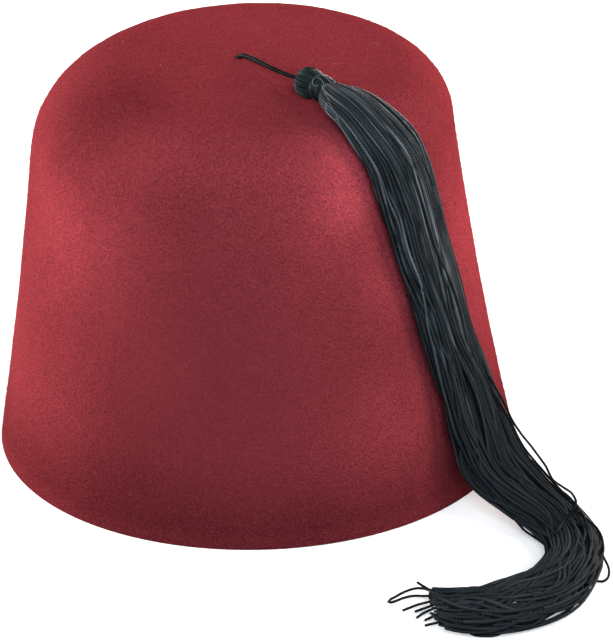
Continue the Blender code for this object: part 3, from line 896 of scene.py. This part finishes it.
lines, radii = [], []
for strand in range(STRANDS):
    nearness = (1 - across_out[-1, strand, 0] / skirt[-1][3]) / 2
    short = NEAR_ENDS_SHORT * max(nearness, 0) ** NEAR_BEND + abs(chance.normal(0, END_RAGGED))
    if chance.random() < CUT_EARLY:
        short += chance.uniform(LATEST_CUT, EARLIEST_CUT)
    steps = len(skirt) - int(short * MM / STRAND_STEP)
    line = []
    for i in range(steps):
        middle, across, out, half_wide, half_thick = skirt[i]
        sideways, outward = across_out[i, strand]
        outward -= EDGE_DROOP * (1 - out.z) * (sideways / half_wide) ** 2
        place = middle + across * sideways + out * outward
        near, normal, _, _ = felt_surface.find_nearest(place)
        if i > NECK_ROWS and (place - near).dot(normal) < STRAND_RADIUS:
            place = near + normal * STRAND_RADIUS
        place.z = max(place.z, STRAND_RADIUS)
        line.append(place)
    lines.append(line)
    radii.append(np.array(sizes[:steps]) / STRAND_RADIUS)
# The light colour is the painted highlight of the strands' sheen.
strand_black = black_rayon_painted_sheen(
    "black_rayon_strands",
    "#22272a",
    "#8a9297",
    shine=0.9,
    length=290 * MM,
    pitch=0.9 * MM,
    relief=0.7,
    dull=0.14,
    sided=0.85,
)
for name, first in (("rayon_strands_1", 0), ("rayon_strands_2", 1)):
    strands = as_mesh(curve_of(name, lines[first::2], STRAND_RADIUS, 2, radii[first::2]))
    strands.data.materials.append(strand_black)
    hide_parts("tassel")
    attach(strands, "root")

# ---- Stray strands
# Strands that lie apart from the skirt: some bow out beside it, some curl into loops at its outer edge, and
# some cut ends splay on the table beyond the others.
STRAY_RADIUS, STRAY_STEP = 0.46 * MM, 1.5 * MM
STRAYS = [
    # down the right of the skirt, standing off it, and round into a loop over the bend
    [
        Point(84.4, -54.4, 49.0),
        Point(87.3, -55.3, 43.5),
        Point(90.3, -56.0, 37.6),
        Point(92.9, -57.2, 31.9),
        Point(96.2, -59.4, 27.2),
        Point(99.9, -62.1, 23.2),
        Point(102.3, -65.1, 20.8),
        Point(104.3, -67.6, 18.8),
        Point(106.8, -73.0, 15.7),
        Point(110.0, -77.1, 15.1),
        Point(113.2, -82.3, 14.8),
        Point(114.1, -84.2, 13.4),
        Point(112.7, -88.1, 12.0),
        Point(108.3, -94.1, 10.9),
        Point(106.0, -99.7, 10.6),
        Point(104.1, -102.0, 10.4),
    ],
    [
        Point(87.0, -54.8, 41.0),
        Point(90.4, -55.5, 34.4),
        Point(92.9, -56.9, 30.0),
        Point(95.0, -59.0, 25.8),
        Point(97.5, -61.0, 21.8),
        Point(100.2, -64.3, 19.5),
        Point(104.3, -68.7, 16.1),
        Point(107.1, -73.5, 14.7),
        Point(109.4, -76.8, 13.6),
        Point(111.9, -81.3, 13.4),
        Point(114.1, -84.6, 12.0),
        Point(116.4, -90.9, 11.0),
        Point(117.0, -97.0, 9.6),
    ],
    [
        Point(85.0, -54.6, 44.0),
        Point(88.5, -55.2, 37.2),
        Point(91.9, -56.3, 31.4),
        Point(94.0, -58.5, 26.8),
        Point(96.8, -61.1, 21.5),
        Point(100.1, -65.2, 18.3),
        Point(104.2, -69.6, 14.9),
        Point(108.0, -75.7, 13.5),
        Point(111.9, -81.4, 12.2),
        Point(114.6, -88.0, 11.0),
    ],
    # over the bend's right edge
    [
        Point(113.0, -84.0, 10.6),
        Point(118.6, -90.9, 9.0),
        Point(120.7, -95.1, 8.4),
        Point(121.8, -98.2, 7.6),
        Point(122.1, -102.3, 6.8),
        Point(121.7, -107.0, 6.0),
        Point(118.6, -112.6, 5.6),
    ],
    # the loop that stands out from the bend
    [
        Point(118.6, -97.4, 6.4),
        Point(121.1, -102.7, 5.0),
        Point(122.1, -106.9, 3.4),
        Point(123.3, -110.0, 2.0),
        Point(123.3, -113.5, 1.3),
        Point(122.2, -116.9, 1.0),
        Point(120.6, -118.4, 1.0),
        Point(118.5, -118.3, 1.2),
        Point(116.2, -116.9, 2.0),
        Point(111.0, -116.0, 4.0),
    ],
    # along the inner edge, over the table
    [
        Point(86.0, -76.0, 11.0),
        Point(90.2, -83.4, 8.0),
        Point(91.6, -84.5, 7.0),
        Point(93.2, -86.4, 6.0),
        Point(95.2, -89.0, 4.6),
        Point(97.6, -90.5, 3.4),
        Point(99.7, -92.0, 2.6),
        Point(102.6, -96.0, 2.0),
        Point(103.6, -103.0, 1.6),
    ],
    # cut ends beyond the others
    [
        Point(72.0, -133.4, 6.0),
        Point(64.5, -132.4, 5.0),
        Point(59.9, -127.5, 4.0),
        Point(57.3, -124.3, 3.4),
        Point(54.3, -122.9, 2.6),
        Point(50.4, -123.8, 1.8),
        Point(47.5, -125.6, 1.2),
        Point(45.0, -127.5, 0.8),
        Point(44.7, -128.6, 0.7),
        Point(46.7, -128.2, 0.8),
        Point(49.9, -126.4, 1.0),
        Point(53.1, -125.8, 1.4),
        Point(57.2, -126.9, 2.0),
        Point(62.7, -128.7, 3.0),
    ],
    [
        Point(68.0, -133.0, 5.0),
        Point(62.6, -129.7, 4.5),
        Point(59.3, -126.2, 4.0),
        Point(57.1, -122.7, 3.4),
        Point(55.3, -119.7, 3.0),
    ],
    [
        Point(70.0, -131.0, 4.8),
        Point(62.5, -131.5, 4.0),
        Point(58.3, -132.3, 3.0),
        Point(54.4, -132.5, 2.0),
        Point(51.6, -133.1, 1.2),
        Point(49.4, -133.7, 0.6),
    ],
    [
        Point(70.0, -133.6, 5.0),
        Point(63.0, -134.6, 4.4),
        Point(58.1, -135.5, 3.0),
        Point(55.7, -135.4, 2.0),
        Point(53.6, -135.1, 1.0),
    ],
    [
        Point(70.0, -134.0, 4.8),
        Point(63.6, -135.3, 4.0),
        Point(58.7, -137.4, 3.0),
        Point(56.2, -137.9, 2.0),
        Point(53.9, -138.9, 0.8),
    ],
    [
        Point(70.0, -138.0, 4.8),
        Point(64.1, -139.1, 4.0),
        Point(60.6, -140.0, 2.6),
        Point(58.5, -140.2, 1.6),
        Point(56.6, -140.5, 0.8),
    ],
    [
        Point(73.0, -143.6, 4.6),
        Point(65.8, -144.2, 4.0),
        Point(61.7, -144.4, 2.6),
        Point(58.7, -143.7, 1.4),
        Point(56.6, -143.5, 0.7),
    ],
    [
        Point(79.0, -147.0, 4.4),
        Point(70.5, -147.5, 3.6),
        Point(67.1, -146.8, 2.0),
        Point(64.7, -146.1, 0.8),
    ],
    [
        Point(92.0, -146.6, 2.2),
        Point(83.7, -149.3, 1.6),
        Point(80.9, -150.7, 1.0),
        Point(76.4, -150.7, 0.7),
        Point(73.1, -150.0, 0.7),
        Point(71.9, -149.2, 0.8),
        Point(74.5, -148.9, 1.4),
        Point(78.5, -149.3, 2.4),
    ],
]
stray_lines = [smooth_rows(np.array(route) * MM, STRAY_STEP) for route in STRAYS]
strays = as_mesh(curve_of("stray_strands", stray_lines, STRAY_RADIUS, 2))
stray_black = black_rayon_painted_sheen(
    "black_rayon_strays", "#131618", "#20262a", 0.2, 60 * MM, 2.2 * MM, relief=0.12
)
strays.data.materials.append(stray_black)
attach(strays, "root")

# ---- Table and light
# A sheet of matt white acrylic, lit a little from below, so that it stays pale right up to the hat. Large
# soft lights stand low at both sides and behind, and higher in front, in a dim even room.
TABLE_SIZE = 6  # metres
bpy.ops.object.select_all(action="DESELECT")
bpy.ops.mesh.primitive_plane_add(size=TABLE_SIZE)
table = bpy.context.object
table.name = "pale_table"
table_finish = bpy.data.materials.new("lit_white_acrylic")
table_finish.use_nodes = True
table_shader = table_finish.node_tree.nodes["Principled BSDF"]
table_shader.inputs["Base Color"].default_value = colour("#f8f8f8")
table_shader.inputs["Roughness"].default_value = 0.9
table_shader.inputs["Emission Color"].default_value = colour("#ffffff")
table_shader.inputs["Emission Strength"].default_value = 0.35
table.data.materials.append(table_finish)
table.visible_diffuse = table.visible_glossy = False  # it throws no light back up at the hat

# azimuth is to the right of the camera and height above the table, in degrees as seen from the hat
Lamp = namedtuple("Lamp", "name azimuth height power code")
LAMPS = [
    Lamp("left_softbox", -90, 8, 12.5, "#fffaf6"),
    Lamp("left_back_softbox", -120, 8, 11.2, "#fff8f4"),
    Lamp("front_softbox", 8, 35, 7.8, "#e2f2ff"),
    Lamp("right_front_softbox", 60, 33, 4.8, "#fff4ec"),
    Lamp("right_softbox", 112, 10, 5.2, "#fff0e8"),
    Lamp("back_softbox", 150, 8, 12.9, "#ffeae0"),
]
LAMP_DISTANCE, LAMP_SIZE = 1000 * MM, 500 * MM
for lamp in LAMPS:
    light = bpy.data.lights.new(lamp.name, "AREA")
    light.shape = "SQUARE"
    light.size = LAMP_SIZE
    light.energy = lamp.power
    light.color = colour(lamp.code)[:3]
    holder = bpy.data.objects.new(lamp.name, light)
    aside = Matrix.Rotation(math.radians(lamp.azimuth), 4, "Z")
    raised = Matrix.Rotation(math.radians(-lamp.height), 4, "X")
    holder.location = LOOK_AT + aside @ raised @ Vector((0, -LAMP_DISTANCE, 0))
    holder.rotation_euler = (holder.location - LOOK_AT).to_track_quat("Z", "Y").to_euler()
    bpy.context.collection.objects.link(holder)
world = bpy.data.worlds.new("pale_room")
world.use_nodes = True
world.node_tree.nodes["Background"].inputs["Color"].default_value = colour("#ffffff")
world.node_tree.nodes["Background"].inputs["Strength"].default_value = 0.02
bpy.context.scene.world = world
bpy.context.scene.view_settings.view_transform = "Standard"
